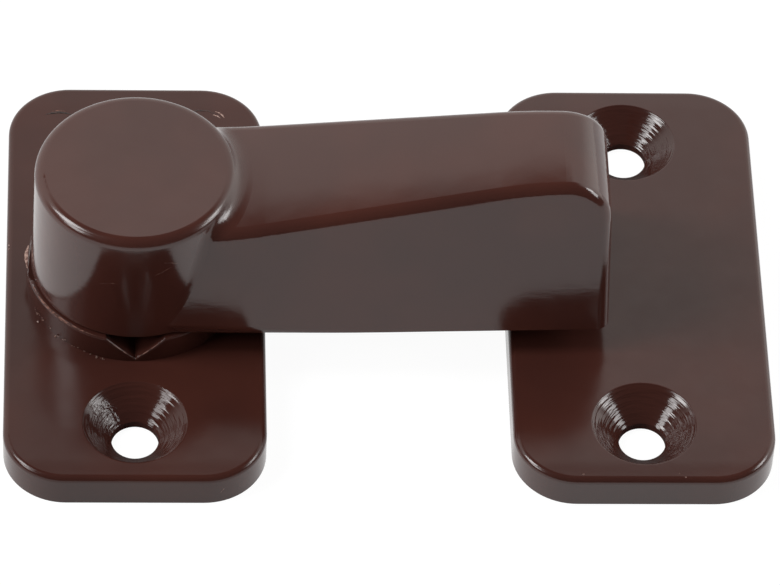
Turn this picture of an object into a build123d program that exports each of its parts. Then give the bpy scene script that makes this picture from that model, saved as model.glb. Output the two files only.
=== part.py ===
from build123d import *
import math
import os

# Turn button for a cupboard door or a window, with its keeper plate.
#
# A moulded base plate carries a low round boss with four notches in its rim. The turn
# button, a round head with a cranked lever, turns on a pin through the boss. A screw and
# a washer hold the pin from below, and a conical spring pulls the button down on the boss.
# The keeper plate is a loose second plate under the lever's tip.
#
# Millimetres, +Z up. The origin is on the pivot axis, in the plane of the surface that
# the plates are screwed to. The lever lies along +X and the screw holes along Y.

# Plates
plate_length = 50.0
plate_width = 25.0
plate_thickness = 3.5
plate_corner_radius = 6.0
plate_edge_radius = 0.6
keeper_distance = 48.4

# Screw holes in both plates
screw_hole_margin = 7.0
screw_hole_diameter = 4.5
countersink_diameter = 10.0
countersink_angle = 90.0
countersink_edge_radius = 0.15

# Boss on the base plate
boss_diameter = 21.0
boss_height = 2.8
boss_edge_radius = 0.25
notch_count = 4
notch_width = 5.6
notch_depth = 2.5
notch_length = 3.5
notch_edge_radius = 0.2

# Pocket under the boss, for the spring and the screw's head
pocket_diameter = 11.0
web_thickness = 2.1

# Round head of the turn button
button_gap = 0.25
knob_diameter = 20.1
knob_height = 12.9
knob_draft = 2.0
knob_edge_radius = 1.0

# Lever of the turn button: its crowned top starts a step below the head's top, then rises
lever_reach = 45.3
lever_side_setback = 0.1
lever_tip_width = 17.6
lever_step = 1.3
lever_rise = 4.6
lever_rise_start = 9.0
lever_tip_length = 7.8
lever_bend_radius = 40.0
lever_crown_radius = 70.0
lever_side_draft = 13.2
lever_end_draft = 1.5
lever_end_radius = 4.5
lever_edge_radius = 1.2
neck_radius = 2.0

# Hollow underside of the turn button
button_wall = 2.0
rib_thickness = 1.4
rib_setback = 0.6
rib_spacing = 11.0
hub_diameter = 9.0

# Pivot pin, its screw and its washer
pin_diameter = 6.0
pin_clearance = 0.08
screw_shank_diameter = 2.8
screw_length = 9.0
screw_tip_chamfer = 0.8
screw_head_diameter = 5.6
screw_head_height = 1.5
screw_head_round = 0.7
screw_head_recess = 0.35
screw_thread_clearance = 0.03
cross_recess_width = 0.8
cross_recess_span = 3.2
cross_recess_depth = 0.9
washer_diameter = 8.4
washer_thickness = 0.5
washer_clearance = 0.15

# Conical spring between the web and the washer
spring_wire = 0.6
spring_turns = 2.0
spring_top_radius = 4.55
spring_bottom_radius = 3.55
spring_clearance = 0.06

# How far a cut reaches past the face it opens, and a joined pin into its carrier
overlap = 1.0

# Sizes that follow from those above, the lever's heights from the button's lower face
screw_hole_pitch = plate_length - 2 * screw_hole_margin
lever_root_width = knob_diameter - 2 * lever_side_setback
lever_rise_end = lever_reach - lever_tip_length
lever_root_height = knob_height - lever_step
lever_tip_height = lever_root_height + lever_rise
boss_top = plate_thickness + boss_height
web_underside = boss_top - web_thickness
button_base = boss_top + button_gap
washer_bottom = screw_head_recess + screw_head_height
washer_top = washer_bottom + washer_thickness


def drop(angle):
    """Sideways step of a drafted wall for each unit of height."""
    return math.tan(math.radians(angle))


def plate_blank():
    """Rounded plate with its two countersunk screw holes, centred on the Z axis."""
    outline = RectangleRounded(plate_width, plate_length, plate_corner_radius)
    blank = extrude(outline, plate_thickness)
    rim = blank.faces().sort_by(Axis.Z)[-1].outer_wire().edges()
    blank = fillet(rim, plate_edge_radius)
    for side in (-1, 1):
        blank -= Pos(0, side * screw_hole_pitch / 2, 0) * screw_hole()
    lips = ShapeList()
    for wire in blank.faces().sort_by(Axis.Z)[-1].inner_wires():
        lips += wire.edges()
    return fillet(lips, countersink_edge_radius)


def screw_hole():
    """Countersunk hole, as the solid that is cut from a plate."""
    hole_radius = screw_hole_diameter / 2
    rim_radius = countersink_diameter / 2
    cone_height = (rim_radius - hole_radius) / drop(countersink_angle / 2)
    cone_bottom = plate_thickness - cone_height
    section = Polyline(
        (0, -overlap),
        (hole_radius, -overlap),
        (hole_radius, cone_bottom),
        (rim_radius, plate_thickness),
        (rim_radius, plate_thickness + overlap),
        (0, plate_thickness + overlap),
        close=True,
    )
    return revolve(Plane.XZ * make_face(section), Axis.Z)


def notch():
    """V notch at the boss's rim, on the +X side, as the solid that is cut away."""
    spread = notch_width / 2 * (notch_depth + overlap) / notch_depth
    section = Polyline(
        (0, boss_top - notch_depth),
        (spread, boss_top + overlap),
        (-spread, boss_top + overlap),
        close=True,
    )
    inner_end = boss_diameter / 2 - notch_length
    return Pos(inner_end, 0, 0) * extrude(Plane.YZ * make_face(section), notch_length + overlap)


def opens_notch(edge):
    """True for an edge where a notch opens to the boss's top or side."""
    middle = edge.position_at(0.5)
    inner_end = boss_diameter / 2 - notch_length
    off_end_wall = math.hypot(middle.X, middle.Y) > inner_end + notch_length / 4
    return off_end_wall and middle.Z > boss_top - notch_depth * 0.9


def boss():
    """Round boss with the notches in its rim."""
    disc = extrude(Circle(boss_diameter / 2), boss_top)
    disc = fillet(disc.edges().group_by(Axis.Z)[-1], boss_edge_radius)
    # The seam line of the round wall is turned to lie between two notches
    body = Rot(0, 0, 180 / notch_count) * disc
    for step in range(notch_count):
        body -= Rot(0, 0, 360 / notch_count * step) * notch()
    lips = ShapeList()
    for face in body.faces().filter_by(GeomType.PLANE):
        if 0.1 < face.normal_at().Z < 0.9:
            lips += face.edges().filter_by(opens_notch)
    return fillet(lips, notch_edge_radius)


def base_plate():
    """Plate with the notched boss, the bore for the pin and the pocket beneath."""
    body = plate_blank() + boss()
    body -= extrude(Circle(pocket_diameter / 2), web_underside)
    body -= extrude(Circle(pin_diameter / 2 + pin_clearance), boss_top)
    return body


def knob(inset=0.0):
    """Round head, drafted, or the hollow inside it when inset is the wall."""
    foot = Circle(knob_diameter / 2 - inset)
    head = extrude(foot, knob_height - inset, taper=knob_draft)
    if inset == 0:
        head = fillet(head.edges().group_by(Axis.Z)[-1], knob_edge_radius)
    return head


def lever_walls(inset):
    """Planes of the lever's two sides and its end, each facing outward."""
    narrowing = (lever_root_width - lever_tip_width) / 2 / lever_reach
    half_root = lever_root_width / 2 - inset
    walls = [Plane(origin=(lever_reach - inset, 0, 0), z_dir=(1, 0, drop(lever_end_draft)))]
    for side in (-1, 1):
        outward = (narrowing, side, drop(lever_side_draft))
        walls.append(Plane(origin=(0, side * half_root, 0), z_dir=outward))
    return walls


def lever_profile(inset):
    """Side view of the lever along its middle, as a face in the XZ plane."""
    root_height = lever_root_height - inset
    tip_height = lever_tip_height - inset
    far = lever_reach + overlap
    top = FilletPolyline(
        (0, root_height),
        (lever_rise_start, root_height),
        (lever_rise_end, tip_height),
        (far, tip_height),
        radius=lever_bend_radius,
    )
    rest = Polyline((far, tip_height), (far, -overlap), (0, -overlap), (0, root_height))
    return Plane.XZ * make_face([top, rest])


def lever(inset=0.0):
    """Cranked lever with drafted sides, or the hollow inside it when inset is the wall."""
    crown_axis = Axis((0, 0, lever_root_height - lever_crown_radius), (1, 0, 0))
    half_turn = math.degrees(math.asin(lever_root_width / 2 / lever_crown_radius)) + 1
    body = revolve(lever_profile(inset), crown_axis, 2 * half_turn)
    body = split(body.rotate(crown_axis, -half_turn), Plane.XY, keep=Keep.TOP)
    for wall in lever_walls(inset):
        body = split(body, wall, keep=Keep.BOTTOM)
    cross_edges = body.edges().filter_by(crosses_lever)
    body = fillet(cross_edges.sort_by(Axis.X)[-1], lever_end_radius - inset)
    if inset == 0:
        rim = ShapeList()
        for face in body.faces():
            if abs(face.normal_at().Y) > abs(face.normal_at().Z):
                rim += face.edges().filter_by(on_rim)
        body = fillet(rim, lever_edge_radius)
    return body


def crosses_lever(edge):
    """True for an edge that crosses the lever's top from side to side."""
    middle = edge.position_at(0.5)
    return abs(middle.Y) < lever_edge_radius / 10 and middle.Z > lever_root_height / 2


def on_rim(edge):
    """True for an edge of the lever's side that bounds its top or its end."""
    middle = edge.position_at(0.5)
    return middle.Z > lever_edge_radius / 2 and middle.X > lever_edge_radius / 2


def ribs():
    """Stiffening ribs left standing in the lever's hollow."""
    tall = lever_tip_height
    web = Box(lever_reach, rib_thickness, tall, align=(Align.MIN, Align.CENTER, Align.MIN))
    reach = knob_diameter / 2 + rib_spacing / 2
    while reach < lever_reach - rib_spacing / 2:
        cross = Box(rib_thickness, lever_root_width, tall, align=(Align.CENTER, Align.CENTER, Align.MIN))
        web += Pos(reach, 0, 0) * cross
        reach += rib_spacing
    return Pos(0, 0, rib_setback) * web


def turn_button():
    """One moulding: round head, cranked lever, hub and pivot pin, hollow beneath."""
    # The head's seam line is turned away from the lever, which keeps the neck's fillets sound
    head = Rot(0, 0, 180) * knob()
    arm = lever()
    outer = head + arm
    outer = fillet(new_edges(head, arm, combined=outer), neck_radius)
    hollow = knob(button_wall) + lever(button_wall)
    hub = extrude(Circle(hub_diameter / 2), knob_height)
    body = outer - (hollow - hub - ribs())
    body = Pos(0, 0, button_base) * body
    pin = Pos(0, 0, washer_top) * extrude(Circle(pin_diameter / 2), button_base - washer_top + overlap)
    body += pin
    bore_radius = screw_shank_diameter / 2 + screw_thread_clearance
    bore = extrude(Circle(bore_radius), screw_length + overlap)
    return body - Pos(0, 0, washer_top) * bore


def pivot_screw():
    """Pan head screw, driven up into the pin from below."""
    head = extrude(Circle(screw_head_diameter / 2), screw_head_height)
    head = fillet(head.edges().group_by(Axis.Z)[0], screw_head_round)
    slot = Box(cross_recess_span, cross_recess_width, cross_recess_depth * 2)
    head -= slot
    head -= Rot(0, 0, 90) * slot
    shank = Pos(0, 0, screw_head_height) * extrude(Circle(screw_shank_diameter / 2), screw_length)
    shank = chamfer(shank.edges().group_by(Axis.Z)[-1], screw_tip_chamfer)
    return Pos(0, 0, screw_head_recess) * (head + shank)


def washer():
    """Flat washer between the screw's head and the pin."""
    ring = Circle(washer_diameter / 2) - Circle(screw_shank_diameter / 2 + washer_clearance)
    return Pos(0, 0, washer_bottom) * extrude(ring, washer_thickness)


def spring():
    """Conical spring, wide end against the web, narrow end on the washer."""
    room = web_underside - washer_top
    rise = room - spring_wire - 2 * spring_clearance
    spread = spring_top_radius - spring_bottom_radius
    path = Helix(
        pitch=rise / spring_turns,
        height=rise,
        radius=spring_bottom_radius,
        cone_angle=math.degrees(math.atan2(spread, rise)),
    )
    start = path @ 0
    section = Plane(origin=start, z_dir=path % 0) * Circle(spring_wire / 2)
    coil = sweep(section, path=path, is_frenet=True)
    return Pos(0, 0, washer_top + spring_clearance + spring_wire / 2) * coil


def keeper_plate():
    """Loose plate that the lever's tip swings over."""
    return Pos(keeper_distance, 0, 0) * plate_blank()


pieces = {
    "base_plate": base_plate,
    "turn_button": turn_button,
    "pivot_screw": pivot_screw,
    "pivot_washer": washer,
    "detent_spring": spring,
    "keeper_plate": keeper_plate,
}

os.makedirs("parts", exist_ok=True)
for name, make in pieces.items():
    piece = make()
    export_step(piece, f"parts/{name}.step")
    print(name, "solids", len(piece.solids()), "volume", round(piece.volume, 1), "mm3")
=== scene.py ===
# %% [markdown]
# # A brown plastic turn button
# The object is a small catch for a cupboard door or a window. Two rounded plates are screwed
# down side by side. On the left one sits a round head with a thick cranked lever, and a turn
# of the lever over the right plate holds the door shut.
#
# The shapes come ready made as solids, all in one frame: metres, +Z up, the pivot axis at the
# origin and the lever along +X. This file adds what the solids lack: the moulded surface, the
# rings that the mould's cutter left in the screw holes, small flaws, the lamps and the camera.
# Run the cells from top to bottom. Each one prints what it made.

# %% Load the solids
import math
import random
import bpy
from mathutils import Matrix, Vector


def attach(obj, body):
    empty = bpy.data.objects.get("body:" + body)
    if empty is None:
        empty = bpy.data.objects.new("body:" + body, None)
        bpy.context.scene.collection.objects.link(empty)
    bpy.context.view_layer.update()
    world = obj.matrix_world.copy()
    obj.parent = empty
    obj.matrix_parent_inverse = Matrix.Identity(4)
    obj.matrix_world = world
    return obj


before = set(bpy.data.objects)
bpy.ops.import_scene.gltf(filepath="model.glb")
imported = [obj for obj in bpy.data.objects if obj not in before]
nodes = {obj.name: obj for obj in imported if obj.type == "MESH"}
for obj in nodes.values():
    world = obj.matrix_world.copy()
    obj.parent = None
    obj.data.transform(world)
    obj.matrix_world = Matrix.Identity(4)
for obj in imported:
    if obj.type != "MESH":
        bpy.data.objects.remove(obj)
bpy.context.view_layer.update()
MM = 0.001
print("solids:", sorted(nodes))

# %% [markdown]
# ## Sizes that the finishes follow
# The rings belong in the screw holes, and the crumbs lie round the boss, the raised disc under
# the head. So the finishes have to know where these are. The sizes are in millimetres, counted
# from the foot of the pivot axis. The distance between the plates is measured on the solids
# themselves, because the photographer could have laid them at any distance.

# %% Sizes
PLATE_TOP = 3.5
HOLE_FROM_MIDDLE = 18.0
HOLE_RADIUS = 2.25
CONE_RADIUS = 5.0
BOSS_RADIUS = 10.5
BOSS_TOP = PLATE_TOP + 2.8
base_left = nodes["base_plate"].bound_box[0][0]
keeper_left = nodes["keeper_plate"].bound_box[0][0]
PLATE_SPACING = round((keeper_left - base_left) / MM, 3)
print("plates", PLATE_SPACING, "mm apart, boss top at", BOSS_TOP, "mm")

# %% [markdown]
# ## The camera
# A catalogue picture like this one is taken from far away with a long lens, so that parallel
# edges stay nearly parallel. A camera is easy to place by hand, but hard to place exactly. Here
# it is given as a photographer would say it: how steeply it looks down, how far it is turned and
# tilted, how far off it stands and which point on the table it looks at. Blender's camera looks
# along its own -Z, with +Y up in the picture, so the three directions make its matrix.

# %% Place the camera
PICTURE_WIDTH = 780
FOCAL_PIXELS = 5917.65
LOOK_DOWN = math.radians(49.33)
LOOK_ASIDE = math.radians(4.11)
TILT = math.radians(-3.37)
STAND_OFF = 577.14 * MM
AIM = Vector((24.84, 1.29, 0)) * MM

ahead = Vector((
    math.sin(LOOK_ASIDE) * math.cos(LOOK_DOWN),
    math.cos(LOOK_ASIDE) * math.cos(LOOK_DOWN),
    -math.sin(LOOK_DOWN),
))
level = Vector((math.cos(LOOK_ASIDE), -math.sin(LOOK_ASIDE), 0))
below = ahead.cross(level)
picture_right = level * math.cos(TILT) + below * math.sin(TILT)
picture_up = level * math.sin(TILT) - below * math.cos(TILT)

camera_data = bpy.data.cameras.new("camera")
camera_data.sensor_width = 36
camera_data.lens = FOCAL_PIXELS * camera_data.sensor_width / PICTURE_WIDTH
camera_data.clip_start = 0.01
camera_data.clip_end = 20
camera = bpy.data.objects.new("camera", camera_data)
bpy.context.scene.collection.objects.link(camera)
axes = Matrix((picture_right, picture_up, -ahead)).transposed().to_4x4()
camera.matrix_world = Matrix.Translation(AIM - ahead * STAND_OFF) @ axes
bpy.context.scene.camera = camera
bpy.context.scene.view_settings.view_transform = "Standard"
print("lens in mm:", round(camera_data.lens, 1))

# %% [markdown]
# ## Helpers for node trees
# Every finish below is a small network of shader nodes. Adding a node, naming its inputs and
# wiring it takes several lines each time, so one helper does all three. An input is given as a
# number or colour, or as another node's output, which is then linked. Sockets that share a name
# are given by number instead, as i0 or i1.

# %% Node helper
def add_node(tree, kind, settings=None, **inputs):
    """Adds a node, sets its properties, and fills or links its inputs by name."""
    node = tree.nodes.new(kind)
    for key, value in (settings or {}).items():
        setattr(node, key, value)
    for key, value in inputs.items():
        by_number = key[0] == "i" and key[1:].isdigit()
        socket = node.inputs[int(key[1:]) if by_number else key.replace("_", " ")]
        if isinstance(value, bpy.types.NodeSocket):
            tree.links.new(value, socket)
        else:
            socket.default_value = value
    return node


print("node helper ready")

# %% [markdown]
# Sums are nodes too. These helpers let a formula be written nearly as on paper. smooth_step is
# the most useful of them: it says where something begins and where it ends, without a hard edge.

# %% Helpers for sums
def maths(tree, operation, first, second=0.0, clamp=False):
    """One Math node's result."""
    settings = {"operation": operation, "use_clamp": clamp}
    return add_node(tree, "ShaderNodeMath", settings, i0=first, i1=second).outputs[0]


def product(tree, first, *others):
    """All the factors multiplied."""
    for other in others:
        first = maths(tree, "MULTIPLY", first, other)
    return first


def one_minus(tree, value):
    """What is left of 1, which swaps yes and no for a share between them."""
    return maths(tree, "SUBTRACT", 1.0, value)


def smooth_step(tree, value, low, high):
    """0 below low, 1 above high, and a soft ramp between."""
    settings = {"interpolation_type": "SMOOTHSTEP"}
    node = add_node(tree, "ShaderNodeMapRange", settings, Value=value, From_Min=low, From_Max=high)
    return node.outputs["Result"]


def split(tree, vector):
    """The X, Y and Z of a place or direction."""
    return add_node(tree, "ShaderNodeSeparateXYZ", Vector=vector).outputs


print("helpers for sums ready")

# %% [markdown]
# ## The room
# Glossy dark plastic shows its surroundings more than its own colour. The grey of the flat tops
# is a white backdrop behind the table, the dark band along each front edge is the unlit ceiling,
# and the light grey of the upright walls is the white table itself. Large white cards could
# stand there as in a studio, but other views would look at their backs. A world shader paints
# the room by direction instead: how high, how far back and how far right a direction points
# decides how light it is. Each edge is a ramp between two such values. The backdrop is brighter
# at its right end, which puts the pale band on the lever's end.

# %% Paint the room
BACKDROP_LIGHT = 1.12
CEILING_LIGHT = 0.06
RIGHT_END_EXTRA = 0.7
CEILING_EDGE = (math.sin(math.radians(49)), math.sin(math.radians(58)))
BACKDROP_EDGE = (-0.1, 0.35)
RIGHT_END_EDGE = (0.5, 0.85)
WARM_WHITE = (1, 0.98, 0.95, 1)

world = bpy.data.worlds.new("room")
bpy.context.scene.world = world
world.use_nodes = True
tree = world.node_tree
tree.nodes.clear()
direction = split(tree, add_node(tree, "ShaderNodeTexCoord").outputs["Generated"])
below_ceiling = one_minus(tree, smooth_step(tree, direction["Z"], *CEILING_EDGE))
behind = smooth_step(tree, direction["Y"], *BACKDROP_EDGE)
right_end = smooth_step(tree, direction["X"], *RIGHT_END_EDGE)
brighter = maths(tree, "ADD", 1.0, product(tree, right_end, RIGHT_END_EXTRA))
backdrop = product(tree, below_ceiling, behind, brighter, BACKDROP_LIGHT - CEILING_LIGHT)
room_light = maths(tree, "ADD", backdrop, CEILING_LIGHT)
background = add_node(tree, "ShaderNodeBackground", Color=WARM_WHITE, Strength=room_light)
add_node(tree, "ShaderNodeOutputWorld", Surface=background.outputs[0])
print("room painted with", len(tree.nodes), "nodes")

# %% [markdown]
# ## The lamps
# Two pairs of soft boxes hang left and right of the table. The lower pair makes the glints in
# the screw holes. The upper pair draws the two short white streaks on the head's rim. A point
# lamp would give a spark without a shape, and a large near lamp a wide veil, so these are
# rectangles of a hand's length.

# %% Hang the lamps
LAMP_DISTANCE = 0.7


def soft_box(name, toward, width, height, radiance):
    """A rectangular lamp in the direction toward, facing the middle of the plates."""
    data = bpy.data.lights.new(name, "AREA")
    data.shape = "RECTANGLE"
    data.size = width
    data.size_y = height
    data.energy = radiance * math.pi * width * height
    lamp = bpy.data.objects.new(name, data)
    bpy.context.scene.collection.objects.link(lamp)
    lamp.location = AIM + Vector(toward).normalized() * LAMP_DISTANCE
    lamp.rotation_euler = (AIM - lamp.location).to_track_quat("-Z", "Y").to_euler()
    print(name, "watts", round(data.energy, 2))


soft_box("soft_box_left", (-0.78, -0.32, 0.54), width=0.20, height=0.24, radiance=8.0)
soft_box("soft_box_right", (0.90, -0.12, 0.43), width=0.26, height=0.18, radiance=7.0)
soft_box("rim_lamp_left", (-0.68, -0.02, 0.73), width=0.20, height=0.32, radiance=13.0)
soft_box("rim_lamp_right", (0.80, 0.04, 0.60), width=0.20, height=0.16, radiance=9.0)

# %% [markdown]
# ## The table
# The picture has a pure white ground. A wide sheet of paper, a hair below the plates so that the
# two don't flicker through each other, carries the object and catches its soft shadow.

# %% Lay the table
TABLE_SIDE = 3.0
GAP_BELOW = 0.02

table_mesh = bpy.data.meshes.new("table")
half = TABLE_SIDE / 2
corners = [(-half, -half, 0), (half, -half, 0), (half, half, 0), (-half, half, 0)]
table_mesh.from_pydata(corners, [], [(0, 1, 2, 3)])
table = bpy.data.objects.new("table", table_mesh)
bpy.context.scene.collection.objects.link(table)
table.location.z = -GAP_BELOW * MM
print("table laid,", TABLE_SIDE, "m wide")

# %% [markdown]
# ## Helpers for materials
# Every material starts empty and measures the place on its piece in millimetres, so that all
# scales and distances in it can be read as sizes.

# %% Helpers for materials
def empty_material(name):
    """A new material whose node tree is empty."""
    material = bpy.data.materials.new(name)
    material.use_nodes = True
    material.node_tree.nodes.clear()
    return material


def stretched(tree, place, scale):
    """The place, multiplied along each axis."""
    return add_node(tree, "ShaderNodeMapping", Vector=place, Scale=scale).outputs[0]


def place_in_mm(tree):
    """The place on the piece, in millimetres."""
    place = add_node(tree, "ShaderNodeTexCoord").outputs["Object"]
    return stretched(tree, place, (1 / MM, 1 / MM, 1 / MM))


def sum_of_squares(tree, first, second):
    """A distance squared, from its two sides."""
    return maths(tree, "ADD", product(tree, first, first), product(tree, second, second))


print("helpers for materials ready")

# %% [markdown]
# ## White paper
# Paper that is only lit turns grey where the lamps don't reach, and paper that only glows shows
# no shadow. So the sheet is lit like the object, and seen by the camera, or mirrored in the
# plastic, it also glows: it reads as white there and its shadow stays pale. The light that it
# scatters on the object is that of plain paper, because the glow is kept from those rays.
#
# Through each screw hole a strip of the paper shows. The plastic round the hole must not mirror
# it as white: down there, under the plate, the paper lies in the dark. So mirrored rays get no
# glow inside a circle round the axis of each hole.

# %% White paper
GLOW = 0.95
WHITE = (1, 1, 1, 1)
PAPER = (0.7, 0.7, 0.7, 1)
PAPER_UNDER_GLOW = (0.10, 0.10, 0.10, 1)
DARK_CIRCLE = HOLE_RADIUS + 0.3

paper = empty_material("white_paper")
tree = paper.node_tree
xyz = split(tree, place_in_mm(tree))
from_keeper = maths(tree, "ABSOLUTE", maths(tree, "SUBTRACT", xyz["X"], PLATE_SPACING))
across = maths(tree, "MINIMUM", maths(tree, "ABSOLUTE", xyz["X"]), from_keeper)
along = maths(tree, "SUBTRACT", maths(tree, "ABSOLUTE", xyz["Y"]), HOLE_FROM_MIDDLE)
under_hole = maths(tree, "LESS_THAN", sum_of_squares(tree, across, along), DARK_CIRCLE ** 2)
rays = add_node(tree, "ShaderNodeLightPath").outputs
mirrored = maths(tree, "ADD", rays["Is Glossy Ray"], rays["Is Transmission Ray"])
strength = product(tree, one_minus(tree, product(tree, under_hole, mirrored)), GLOW)
glow = add_node(tree, "ShaderNodeEmission", Color=WHITE, Strength=strength)
dim_sheet = add_node(tree, "ShaderNodeBsdfDiffuse", Color=PAPER_UNDER_GLOW)
seen = add_node(tree, "ShaderNodeAddShader", i0=glow.outputs[0], i1=dim_sheet.outputs[0])
sheet = add_node(tree, "ShaderNodeBsdfDiffuse", Color=PAPER)
seen_or_mirrored = maths(tree, "ADD", rays["Is Camera Ray"], mirrored, clamp=True)
surface = add_node(
    tree, "ShaderNodeMixShader", Fac=seen_or_mirrored, i1=sheet.outputs[0], i2=seen.outputs[0]
)
add_node(tree, "ShaderNodeOutputMaterial", Surface=surface.outputs[0])
table_mesh.materials.append(paper)
print("paper made with", len(tree.nodes), "nodes")

# %% [markdown]
# ## Brown plastic
# All three large pieces are moulded from the same dark brown plastic. It looks plain, but three
# things make it real: the colour drifts a little where the melt flowed, the polish is not even,
# and the surface is never quite flat. Each is a noise texture at its own scale. One flat colour
# with one polish would look like a computer's plastic, not like a moulding.

# %% Noise and mixed colours
def noise(tree, place, scale, detail, roughness=0.5, distortion=0.0):
    """Soft random swells between 0 and 1, about scale of them in a millimetre."""
    node = add_node(
        tree, "ShaderNodeTexNoise", Vector=place, Scale=scale, Detail=detail,
        Roughness=roughness, Distortion=distortion,
    )
    return node.outputs[0]


def mix_colours(tree, share, first, second):
    """The first colour where share is 0, the second where it is 1."""
    settings = {"data_type": "RGBA"}
    return add_node(tree, "ShaderNodeMix", settings, i0=share, i6=first, i7=second).outputs[2]


print("noise and mixed colours ready")

# %% [markdown]
# One function starts such a plastic. It is called once for each of the three pieces, because the
# flat plates came out darker and duller than the button that people touch. Blender counts a
# polish as roughness: 0 is a mirror, and 1 is chalk.

# %% Colour and polish of the plastic
DARK_BROWN = (0.050, 0.0160, 0.0120)
RED_BROWN = (0.061, 0.0188, 0.0135)
FLOW_SCALE, FLOW_EDGE = 0.09, (0.35, 0.65)
PATCH_SCALE, PATCH_EDGE = 0.5, (0.3, 0.7)
BEST_POLISH, WORST_POLISH = 0.09, 0.14


def start_plastic(name, shade, dullness):
    """A new material with the place in mm, a drifting colour and an uneven polish."""
    material = empty_material(name)
    tree = material.node_tree
    in_mm = place_in_mm(tree)
    flow = smooth_step(tree, noise(tree, in_mm, FLOW_SCALE, detail=2.0), *FLOW_EDGE)
    dark = [part * shade for part in DARK_BROWN] + [1]
    red = [part * shade for part in RED_BROWN] + [1]
    colour = mix_colours(tree, flow, dark, red)
    patches = noise(tree, in_mm, PATCH_SCALE, detail=3.0, roughness=0.6)
    polish = add_node(
        tree, "ShaderNodeMapRange", Value=patches, From_Min=PATCH_EDGE[0], From_Max=PATCH_EDGE[1],
        To_Min=BEST_POLISH + dullness, To_Max=WORST_POLISH + dullness,
    ).outputs[0]
    print(name, "started, shade", shade, "dullness", dullness)
    return material, in_mm, colour, polish


print("roughness of the plastic from", BEST_POLISH, "to", WORST_POLISH)

# %% [markdown]
# ## Waves, dents, grain and polishing strokes
# A bump node bends the light as if the surface were higher or lower. Broad shallow waves make the
# reflections swim, as they do where plastic shrinks over thick walls, and small soft dents fray
# their borders. A fine grain takes the mirror look away. The upright walls also carry faint level
# strokes, because the mould was polished that way: a noise that is squeezed in height draws them,
# and leaves flat tops alone. All this is two hundredths of a millimetre deep at most. A mesh
# would need millions of faces for it, and a bump needs none.

# %% Unevenness of the plastic
WAVE_SCALE, WAVE_DEPTH = 0.22, 0.02
DENT_STRETCH, DENT_DEPTH = (0.8, 0.8, 2.2), 0.005
GRAIN_SCALE, GRAIN_DEPTH = 2.6, 0.0012
STROKE_STRETCH, STROKE_DEPTH = (0.35, 0.35, 7.0), 0.0025


def bump(tree, height, depth_mm, below=None):
    """Bends the normal by a height map of depth_mm, on top of the bumps below."""
    node = add_node(tree, "ShaderNodeBump", Strength=1.0, Distance=depth_mm * MM, Height=height)
    if below:
        tree.links.new(below, node.inputs["Normal"])
    return node.outputs[0]


def uneven_skin(tree, in_mm, below):
    """Waves, dents, grain and strokes on top of the bumps below."""
    waves = noise(tree, in_mm, WAVE_SCALE, detail=1.0, roughness=0.4)
    dents = noise(tree, stretched(tree, in_mm, DENT_STRETCH), 1.0, detail=2.0)
    grain = noise(tree, in_mm, GRAIN_SCALE, detail=3.0, roughness=0.6)
    strokes = noise(tree, stretched(tree, in_mm, STROKE_STRETCH), 1.0, detail=3.0, roughness=0.7)
    swimming = bump(tree, dents, DENT_DEPTH, bump(tree, waves, WAVE_DEPTH, below))
    return bump(tree, strokes, STROKE_DEPTH, bump(tree, grain, GRAIN_DEPTH, swimming))


print("uneven skin ready, waves", WAVE_DEPTH, "mm deep")

# %% [markdown]
# ## The shader
# The Principled shader is made for this: a coloured body under a clear reflecting skin. Its sheen
# here is the strength of that plain reflection, where 0.5 is usual for plastic. It is the same
# all over a piece, so it is set on the shader's own socket as a plain number.

# %% Finish a plastic
PLASTIC_IOR = 1.5


def finish_plastic(material, colour, polish, normal, sheen, piece):
    """Joins everything in a Principled shader and puts the material on a piece."""
    tree = material.node_tree
    skin = add_node(
        tree, "ShaderNodeBsdfPrincipled", Base_Color=colour, Roughness=polish, Normal=normal,
        Specular_IOR_Level=sheen, IOR=PLASTIC_IOR,
    )
    add_node(tree, "ShaderNodeOutputMaterial", Surface=skin.outputs[0])
    nodes[piece].material_slots[0].material = material
    print(material.name, "on", piece)


print("plastic shader ready")

# %% [markdown]
# ## Rings in the screw holes
# The cones of the screw holes were turned in the mould with a lathe tool, which leaves fine rings.
# They break each reflection into a stack of short bright arcs. The distance from the nearest
# hole's axis gives the rings, once both holes of a plate are folded onto one. A wave texture
# would draw them too evenly, so they are a noise that changes fast away from the axis and slowly
# round it. In three places the plastic tore as it left the mould, and a coarser noise crinkles
# it there. The cones are better polished than the flats round them.

# %% Turned rings
CONE_EDGE = (CONE_RADIUS - 0.3, CONE_RADIUS - 0.1)
CONE_TOP = PLATE_TOP - 0.05
CONE_POLISH = 0.06
RING_PITCH = 0.25
RING_DRIFT = 0.3
RING_RELIEF = 0.085
TORN_EDGE = (1.2, 2.2)
CRINKLE_SCALE = 1.9
CRINKLE_SHARE = 0.9


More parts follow.
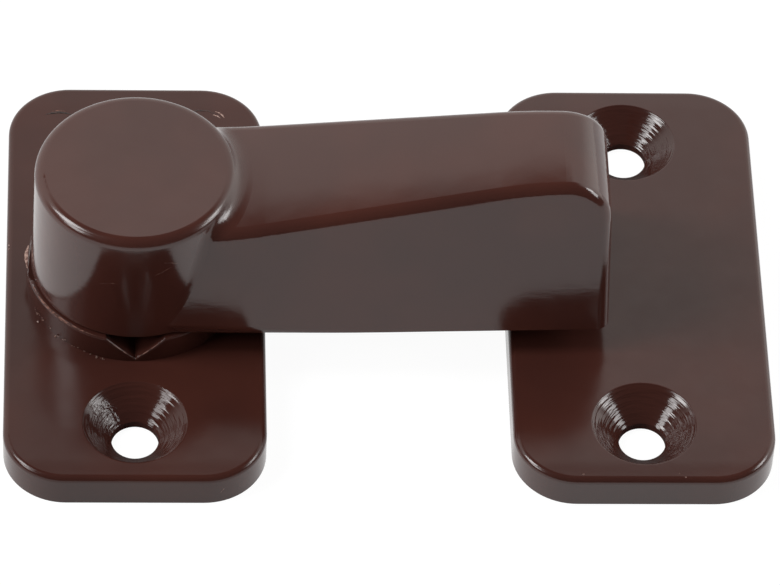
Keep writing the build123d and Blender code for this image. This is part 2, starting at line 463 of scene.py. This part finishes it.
def turned_cones(tree, in_mm, middle, torn_spots, normal, polish):
    """Rings and torn spots in both holes of the plate whose middle is at x = middle."""
    xyz = split(tree, in_mm)
    across = maths(tree, "SUBTRACT", xyz["X"], middle)
    along = maths(tree, "SUBTRACT", maths(tree, "ABSOLUTE", xyz["Y"]), HOLE_FROM_MIDDLE)
    from_axis = maths(tree, "SQRT", sum_of_squares(tree, across, along))
    inside = one_minus(tree, smooth_step(tree, from_axis, *CONE_EDGE))
    in_cone = product(tree, inside, maths(tree, "LESS_THAN", xyz["Z"], CONE_TOP))
    ring_place = add_node(
        tree, "ShaderNodeCombineXYZ", X=maths(tree, "DIVIDE", from_axis, RING_PITCH),
        Y=product(tree, xyz["X"], RING_DRIFT), Z=product(tree, xyz["Y"], RING_DRIFT),
    ).outputs[0]
    rings = noise(tree, ring_place, 1.0, detail=1.5)
    torn = 0.0
    measure = {"operation": "DISTANCE"}
    for spot in torn_spots:
        away = add_node(tree, "ShaderNodeVectorMath", measure, i0=in_mm, i1=spot).outputs["Value"]
        unharmed = smooth_step(tree, away, *TORN_EDGE)
        torn = maths(tree, "MAXIMUM", torn, one_minus(tree, unharmed))
    crinkles = noise(tree, in_mm, CRINKLE_SCALE, detail=2.0, roughness=0.6, distortion=0.8)
    crinkled = product(tree, crinkles, torn, CRINKLE_SHARE)
    relief = product(tree, maths(tree, "ADD", rings, crinkled), in_cone)
    polished = maths(tree, "SUBTRACT", polish, product(tree, in_cone, CONE_POLISH))
    return bump(tree, relief, RING_RELIEF, normal), polished


print("rings every", RING_PITCH, "mm")

# %% [markdown]
# ## The two plates
# The plates' ends sink a hair's breadth before their rounded edge, as thin mouldings do. The bent
# normal turns the unlit ceiling into view there, which is the dark strip along the front edges.
# A bump draws it, so the solids stay as they are. The loose plate, the keeper, is shinier than
# the base.

# %% Plastic of the plates
PLATE_SHADE, PLATE_DULLNESS = 0.94, 0.065
SUNK_END, SINK_DEPTH = (22.4, 25.2), 0.048
BASE_SHEEN, KEEPER_SHEEN = 0.37, 0.53
TORN_IN_BASE = [(-2.6, -16.5, 2.0)]
TORN_IN_KEEPER = [(PLATE_SPACING + 3.2, -19.1, 2.0), (PLATE_SPACING - 2.5, 19.4, 2.0)]


def make_plate_plastic(name, piece, middle, torn_spots, sheen):
    """The dull plastic of one plate, with the rings in its screw holes."""
    material, in_mm, colour, polish = start_plastic(name, PLATE_SHADE, PLATE_DULLNESS)
    tree = material.node_tree
    from_middle = maths(tree, "ABSOLUTE", split(tree, in_mm)["Y"])
    height = one_minus(tree, smooth_step(tree, from_middle, *SUNK_END))
    normal = uneven_skin(tree, in_mm, bump(tree, height, SINK_DEPTH))
    normal, polish = turned_cones(tree, in_mm, middle, torn_spots, normal, polish)
    finish_plastic(material, colour, polish, normal, sheen, piece)


make_plate_plastic("brown_plastic_base", "base_plate", 0.0, TORN_IN_BASE, BASE_SHEEN)
make_plate_plastic(
    "brown_plastic_keeper", "keeper_plate", PLATE_SPACING, TORN_IN_KEEPER, KEEPER_SHEEN
)

# %% [markdown]
# ## The turn button: where it is rubbed
# The rim of the round head is where fingers go. It is rubbed a little rougher, which widens the
# lamps' streaks on it. The hollow of the neck, where the lever leaves the head, can't be reached
# by a polishing wheel and stayed duller too. Such places could be painted on by hand as a mask.
# Here each is a product of soft steps, one for every side where it ends, so it follows the
# solid's own sizes: the distance from the pivot, and the height.

# %% Polish of the button
BUTTON_SHADE, BUTTON_DULLNESS = 1.07, 0.0
RUBBED_DULLNESS, NECK_DULLNESS = 0.08, 0.12
RIM_FROM_PIVOT, RIM_HEIGHT, HEAD_REACH = (8.4, 9.2), (18.0, 18.6), 10.2
NECK_BEGINS, NECK_ENDS = (9.9, 10.1), (10.6, 14.5)
NECK_HEIGHT, NECK_FRONT = (15.5, 16.5), (-7.0, -3.0)

material, in_mm, colour, polish = start_plastic(
    "brown_plastic_button", BUTTON_SHADE, BUTTON_DULLNESS
)
tree = material.node_tree
xyz = split(tree, in_mm)
from_pivot = maths(tree, "SQRT", sum_of_squares(tree, xyz["X"], xyz["Y"]))
on_rim = product(
    tree, smooth_step(tree, from_pivot, *RIM_FROM_PIVOT),
    smooth_step(tree, xyz["Z"], *RIM_HEIGHT), maths(tree, "LESS_THAN", from_pivot, HEAD_REACH),
)
past_head = smooth_step(tree, from_pivot, *NECK_BEGINS)
on_lever = smooth_step(tree, from_pivot, *NECK_ENDS)
in_neck = product(
    tree, maths(tree, "SUBTRACT", past_head, on_lever),
    smooth_step(tree, xyz["Z"], *NECK_HEIGHT), smooth_step(tree, xyz["Y"], *NECK_FRONT),
)
polish = maths(tree, "ADD", polish, product(tree, on_rim, RUBBED_DULLNESS))
polish = maths(tree, "ADD", polish, product(tree, in_neck, NECK_DULLNESS))
print("button rubbed on its rim, dull in its neck")

# %% [markdown]
# ## The turn button: the fall of its top
# The lever's top falls off towards its front edge, steeper and steeper over the last 7 mm, so its
# mirror image of the room fades from pale to dark there. A square does that: it starts level and
# grows steeper by itself.

# %% Normal of the button
FALL_BEGINS, FALL_DEPTH = -2.0, 0.0025
LEVER_BEGINS = (10.0, 13.0)
BUTTON_SHEEN = 0.56

forward = maths(tree, "MAXIMUM", maths(tree, "SUBTRACT", FALL_BEGINS, xyz["Y"]), 0.0)
lever_only = smooth_step(tree, xyz["X"], *LEVER_BEGINS)
height = product(tree, forward, forward, lever_only, -1.0)
normal = uneven_skin(tree, in_mm, bump(tree, height, FALL_DEPTH))
finish_plastic(material, colour, polish, normal, BUTTON_SHEEN, "turn_button")

# %% [markdown]
# ## Rubbed and torn plastic
# Where brown plastic is scratched, or tears as it leaves the mould, it turns pale and dull: the
# torn skin scatters the light. A fine noise breaks the pale colour up into brown and pink grains.
# A deep scratch looks dark instead, because it shades itself, so its finish is painted shade: a
# dark colour that stands for the shade inside the groove.

# %% Finishes for the flaws
GRAINS_EDGE, GRAINS_DEPTH = (0.42, 0.58), 0.02
LEAST_DULL, MOST_DULL = 0.25, 0.55


def rubbed_plastic(name, dark, pale, grain_mm):
    """A dull plastic whose colour is broken into grains."""
    material = empty_material(name)
    tree = material.node_tree
    grains = noise(tree, place_in_mm(tree), 1 / grain_mm, detail=2.0)
    tint = mix_colours(tree, smooth_step(tree, grains, *GRAINS_EDGE), dark, pale)
    dull = add_node(
        tree, "ShaderNodeMapRange", Value=grains, To_Min=LEAST_DULL, To_Max=MOST_DULL
    ).outputs[0]
    normal = bump(tree, grains, GRAINS_DEPTH)
    body = add_node(
        tree, "ShaderNodeBsdfPrincipled", Base_Color=tint, Roughness=dull, Normal=normal
    )
    add_node(tree, "ShaderNodeOutputMaterial", Surface=body.outputs[0])
    print(name, "in grains of", grain_mm, "mm")
    return material


torn_plastic = rubbed_plastic(
    "torn_plastic", (0.13, 0.050, 0.036, 1), (0.42, 0.27, 0.22, 1), grain_mm=0.25
)
# Partly painted highlight: besides pale flash and strokes, this finish paints the light on the
# boss's top edge and the notch's edges.
pale_flash_and_painted_highlight = rubbed_plastic(
    "pale_flash_and_painted_highlight", (0.060, 0.023, 0.017, 1), (0.27, 0.130, 0.095, 1), grain_mm=0.30
)
# Painted shade: the dark colour of this finish stands for the shade inside a scratch's groove.
scratch_with_painted_shade = rubbed_plastic(
    "scratch_with_painted_shade", (0.010, 0.005, 0.004, 1), (0.045, 0.022, 0.018, 1), grain_mm=0.25
)

# %% [markdown]
# ## Small flaws
# Flash is the thin skin that creeps between the halves of a mould and hardens there. A little of
# it is left round the top of the notched boss, and crumbs of it lie along the boss's foot. The
# thin pale strips along the boss's top edge and down the notch's edges are partly flash and
# partly painted highlight: their pale colour stands for the light on those edges. Two scratches
# cross the plate behind the head. They could be painted on, but flash stands proud and catches
# the light on its own edge. So each flaw is a real piece of mesh: a strip with a low ridge that
# narrows to nothing at both ends, or a handful of crumbs, each a little eight-sided stone. A
# fixed seed keeps them the same every time.

# %% Helper for every flaw
def add_flaw(name, corners, faces, finish, rider):
    """A small mesh given in millimetres, which rides on the plates or on the turning button."""
    mesh = bpy.data.meshes.new(name)
    mesh.from_pydata([Vector(corner) * MM for corner in corners], [], faces)
    mesh.materials.append(finish)
    piece = bpy.data.objects.new(name, mesh)
    bpy.context.scene.collection.objects.link(piece)
    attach(piece, rider)
    print(name, "rides on the", rider)


print("helper for every flaw ready")

# %% [markdown]
# A ridge follows a line of pairs: a point on the surface, and the way out of the surface there.
# At each point it has three corners, left, middle and right, and the middle one is lifted. The
# swell makes the ends thin and the middle ragged: it is half a sine wave, times a random share.

# %% Ridges
RAGGED = (0.6, 1.0)


def ridge(name, line, width, height, finish, rider="base", seed=1):
    """A strip along a line of (point, outward) pairs, with a low ragged ridge down its middle."""
    chance = random.Random(seed)
    corners = []
    for step, (point, outward) in enumerate(line):
        point, outward = Vector(point), Vector(outward).normalized()
        before = Vector(line[max(step - 1, 0)][0])
        after = Vector(line[min(step + 1, len(line) - 1)][0])
        sideways = (after - before).normalized().cross(outward)
        swell = math.sin(math.pi * (step + 0.3) / (len(line) - 0.4)) * chance.uniform(*RAGGED)
        corners.append(point - sideways * width / 2 * swell)
        corners.append(point + outward * height * swell)
        corners.append(point + sideways * width / 2 * swell)
    faces = []
    for first in range(0, 3 * (len(line) - 1), 3):
        faces.append((first, first + 1, first + 4, first + 3))
        faces.append((first + 1, first + 2, first + 5, first + 4))
    add_flaw(name, corners, faces, finish, rider)


print("ridges ready")

# %% [markdown]
# A crumb has six corners, one along each way of the three axes, each pushed out by chance. All
# crumbs lie on the plates, so they ride on the base.

# %% Crumbs
CORNER_WAYS = ((1, 0, 0), (0, 1, 0), (-1, 0, 0), (0, -1, 0), (0, 0, 1), (0, 0, -1))
CORNER_REACH = (0.3, 0.8)


def crumbs(name, places, size, finish, seed):
    """A little stone with eight faces at every place."""
    chance = random.Random(seed)
    corners, faces = [], []
    for place in places:
        first = len(corners)
        for way in CORNER_WAYS:
            corners.append(Vector(place) + Vector(way) * size * chance.uniform(*CORNER_REACH))
        for side in range(4):
            near, far = first + side, first + (side + 1) % 4
            faces.append((near, far, first + 4))
            faces.append((far, near, first + 5))
    add_flaw(name, corners, faces, finish, "base")


print("crumbs ready")

# %% [markdown]
# ## Flash and a painted highlight round the boss
# The boss is 21 mm across and stands 2.8 mm above the plate. A thin copper line runs along its
# top edge in the front left: a strip of flash whose pale colour is partly a painted highlight of
# that edge. On the far left sits one pink lump of flash. Both are arcs about the pivot, so a
# radius, a height and two angles give them.

# %% Add the flash round the boss
def arc(radius, height, start, end, steps, outward):
    """Pairs along an arc about the pivot; angles in degrees from +X, outward as (aside, up)."""
    line = []
    for step in range(steps + 1):
        angle = math.radians(start + (end - start) * step / steps)
        spoke = Vector((math.cos(angle), math.sin(angle), 0))
        way = spoke * outward[0] + Vector((0, 0, outward[1]))
        line.append((spoke * radius + Vector((0, 0, height)), way))
    return line


front_left = arc(BOSS_RADIUS - 0.12, BOSS_TOP - 0.05, 197, 251, steps=40, outward=(0.7, 0.7))
# Partly painted highlight: the pale strip stands for the light on the boss's top edge.
ridge("flash_line_painted_highlight", front_left, width=0.30, height=0.12, finish=pale_flash_and_painted_highlight, seed=3)
far_left = arc(BOSS_RADIUS - 0.05, BOSS_TOP - 0.12, 170, 187, steps=8, outward=(1, 0.5))
ridge("flash_lump", far_left, width=0.50, height=0.30, finish=torn_plastic, seed=5)

# %% [markdown]
# The front notch is a V, cut 2.45 mm down into the boss. A hair of flash runs down each of its
# edges, from the boss's top to the point of the V, and its pale colour is partly a painted
# highlight of the edge. The edge lies on the boss's round wall, so how far forward it is follows
# from how far aside it is.

# %% Add the flash along the notch
NOTCH_HALF_WIDTH = 2.75
NOTCH_DEPTH = 2.45
NOTCH_STEPS = 8
NOTCH_RISE = Vector((0, 0, 0.6))

for side, name in ((-1, "flash_notch_left_painted_highlight"), (1, "flash_notch_right_painted_highlight")):
    line = []
    for step in range(NOTCH_STEPS + 1):
        x = side * NOTCH_HALF_WIDTH * (1 - step / NOTCH_STEPS)
        spoke = Vector((x, -math.sqrt(BOSS_RADIUS ** 2 - x * x), 0))
        height = Vector((0, 0, BOSS_TOP - NOTCH_DEPTH * step / NOTCH_STEPS))
        line.append((spoke + height, spoke.normalized() + NOTCH_RISE))
    # Partly painted highlight: the pale hair stands for the light on the notch's edge.
    ridge(name, line, width=0.14, height=0.03, finish=pale_flash_and_painted_highlight, seed=4)

# %% [markdown]
# ## Crumbs at the boss's foot
# The crumbs fell along the foot of the boss, in front and on the left. Further left they cling
# a little higher up on its wall. Placed by hand they would look laid out, so their angles and
# distances are drawn by chance.

# %% Scatter the crumbs
CRUMB_COUNT = 34
CRUMBS_FROM, CRUMBS_TO = 204, 254
CRUMBS_CLIMB = 0.6
OFF_THE_WALL = (0.02, 0.22)
LARGE_CRUMBS = [(-7.6, -7.5), (-3.7, -10.1), (-9.3, -5.6)]

scatter = random.Random(11)
foot = []
for count in range(CRUMB_COUNT):
    turn = scatter.uniform(CRUMBS_FROM, CRUMBS_TO)
    reach = BOSS_RADIUS + scatter.uniform(*OFF_THE_WALL)
    climb = CRUMBS_CLIMB * (CRUMBS_TO - turn) / (CRUMBS_TO - CRUMBS_FROM)
    x, y = reach * math.cos(math.radians(turn)), reach * math.sin(math.radians(turn))
    foot.append((x, y, PLATE_TOP + 0.02 + climb))
crumbs("crumbs_at_boss_foot", foot, size=0.10, finish=torn_plastic, seed=13)
large = [(x, y, PLATE_TOP + 0.03) for x, y in LARGE_CRUMBS]
crumbs("large_crumbs", large, size=0.22, finish=torn_plastic, seed=17)

# %% [markdown]
# ## Scratches behind the head
# Behind the head, something dragged over the plate: a dark curved scratch with one light edge on
# the left, and on the right a thin arc that ends in a torn spot of two short strokes. A scratch
# is really a groove, dark with its own shade. Here a low ridge stands in for it, and its dark
# colour is painted shade: at this size it looks the same, and leaves the solid whole.

# %% Add the scratches behind the head
def on_plate(*spots):
    """The pairs for a line of (x, y) spots on top of a plate."""
    return [((x, y, PLATE_TOP), (0, 0, 1)) for x, y in spots]


scratch = on_plate((-8.9, 21.3), (-8.2, 21.5), (-7.6, 21.6), (-6.9, 21.5), (-6.2, 21.3))
# Painted shade: the dark colour of these ridges stands for the shade inside the scratches'
# grooves.
ridge("scuff_behind_head", scratch, width=0.35, height=0.03, finish=scratch_with_painted_shade)
light_edge = on_plate((-8.3, 21.75), (-7.6, 21.85), (-6.9, 21.75))
ridge("scuff_light_edge", light_edge, width=0.10, height=0.03, finish=pale_flash_and_painted_highlight)
thin_arc = on_plate((5.2, 21.6), (6.2, 21.95), (7.2, 21.9), (7.9, 21.5))
ridge("arc_behind_lever", thin_arc, width=0.22, height=0.03, finish=scratch_with_painted_shade, seed=2)
long_stroke = on_plate((7.9, 21.85), (8.3, 21.65), (8.6, 21.35), (8.8, 21.0))
ridge("torn_spot_long", long_stroke, width=0.24, height=0.05, finish=torn_plastic, seed=4)
short_stroke = on_plate((7.7, 21.4), (8.1, 21.25), (8.4, 20.95))
ridge("torn_spot_short", short_stroke, width=0.18, height=0.05, finish=torn_plastic, seed=6)

# %% [markdown]
# ## Strokes on the head
# Short pale strokes lie on the head's front wall. The wall is a cone that draws in by 2 degrees,
# so its radius follows from the height. These pieces ride on the button, so they turn with it.

# %% Add the strokes on the head
HEAD_FOOT_RADIUS = 10.05
HEAD_FOOT_HEIGHT = 6.55
HEAD_DRAFT = math.radians(2)
STROKES = {
    "stroke_high": (((281, 15.0), (285, 15.3), (290, 15.7)), 0.06, 7),
    "stroke_middle": (((286, 16.5), (290, 16.3), (294, 15.9)), 0.06, 8),
    "stroke_low": (((250, 13.4), (257, 13.8), (266, 13.5)), 0.05, 9),
}


def on_head(*spots):
    """The pairs for a line of (angle, height) spots on the head's wall."""
    line = []
    for angle, height in spots:
        radius = HEAD_FOOT_RADIUS - (height - HEAD_FOOT_HEIGHT) * math.tan(HEAD_DRAFT)
        spoke = Vector((math.cos(math.radians(angle)), math.sin(math.radians(angle)), 0))
        line.append((spoke * radius + Vector((0, 0, height)), spoke))
    return line


for name, (spots, width, seed) in STROKES.items():
    ridge(name, on_head(*spots), width, 0.02, pale_flash_and_painted_highlight, rider="button", seed=seed)

# %% [markdown]
# ## Nicks and specks at the plates' edges
# Three pale specks sit near the front edge of the loose plate, a short scratch crosses the right
# front corner of the base plate, and its left edge is nicked. The same two helpers make them all.

# %% Add the nicks and specks
KEEPER_SPECKS = [(42.3, -24.2, 0.0), (51.45, -24.1, 0.0), (52.0, -24.5, -0.03)]
LEFT_NICKS = [(-12.2, 4.2, -0.1), (-12.22, 3.7, -0.1)]
CORNER_SCRATCH = [(8.12, -24.77, 1.35), (8.38, -24.68, 1.75), (8.66, -24.57, 2.15)]
CORNER_OUTWARD = (0.33, -0.94, 0)

specks = [(x, y, PLATE_TOP + lift) for x, y, lift in KEEPER_SPECKS]
crumbs("specks_on_keeper", specks, size=0.2, finish=torn_plastic, seed=19)
line = [(point, CORNER_OUTWARD) for point in CORNER_SCRATCH]
ridge("scratch_on_corner", line, width=0.12, height=0.03, finish=torn_plastic, seed=23)
nicks = [(x, y, PLATE_TOP + lift) for x, y, lift in LEFT_NICKS]
crumbs("nick_on_left_edge", nicks, size=0.22, finish=torn_plastic, seed=21)

# %% [markdown]
# ## Steel
# The screw, washer and spring are hidden under the boss and only show from below. They are plated
# or drawn steel: a metal with a brushed polish. An even metal would look like a mirror, so marks
# of half a millimetre and less vary the polish and roughen the skin.

# %% Make the steel
POLISH_SPREAD = 0.08
MARK_DEPTH = 0.002


def steel(name, tint, polish, grain_mm):
    """A metal with uneven polish and fine drawn marks."""
    material = empty_material(name)
    tree = material.node_tree
    marks = noise(tree, place_in_mm(tree), 1 / grain_mm, detail=4.0)
    shine = add_node(
        tree, "ShaderNodeMapRange", Value=marks,
        To_Min=polish - POLISH_SPREAD, To_Max=polish + POLISH_SPREAD,
    ).outputs[0]
    normal = bump(tree, marks, MARK_DEPTH)
    body = add_node(
        tree, "ShaderNodeBsdfPrincipled", Base_Color=tint, Metallic=1.0, Roughness=shine,
        Normal=normal,
    )
    add_node(tree, "ShaderNodeOutputMaterial", Surface=body.outputs[0])
    return material


zinc = steel("zinc_plated_steel", (0.62, 0.62, 0.58, 1), polish=0.32, grain_mm=0.5)
wire = steel("spring_wire_steel", (0.42, 0.42, 0.43, 1), polish=0.28, grain_mm=0.3)
for piece, metal in (("pivot_screw", zinc), ("pivot_washer", zinc), ("detent_spring", wire)):
    nodes[piece].material_slots[0].material = metal
    print(metal.name, "on", piece)
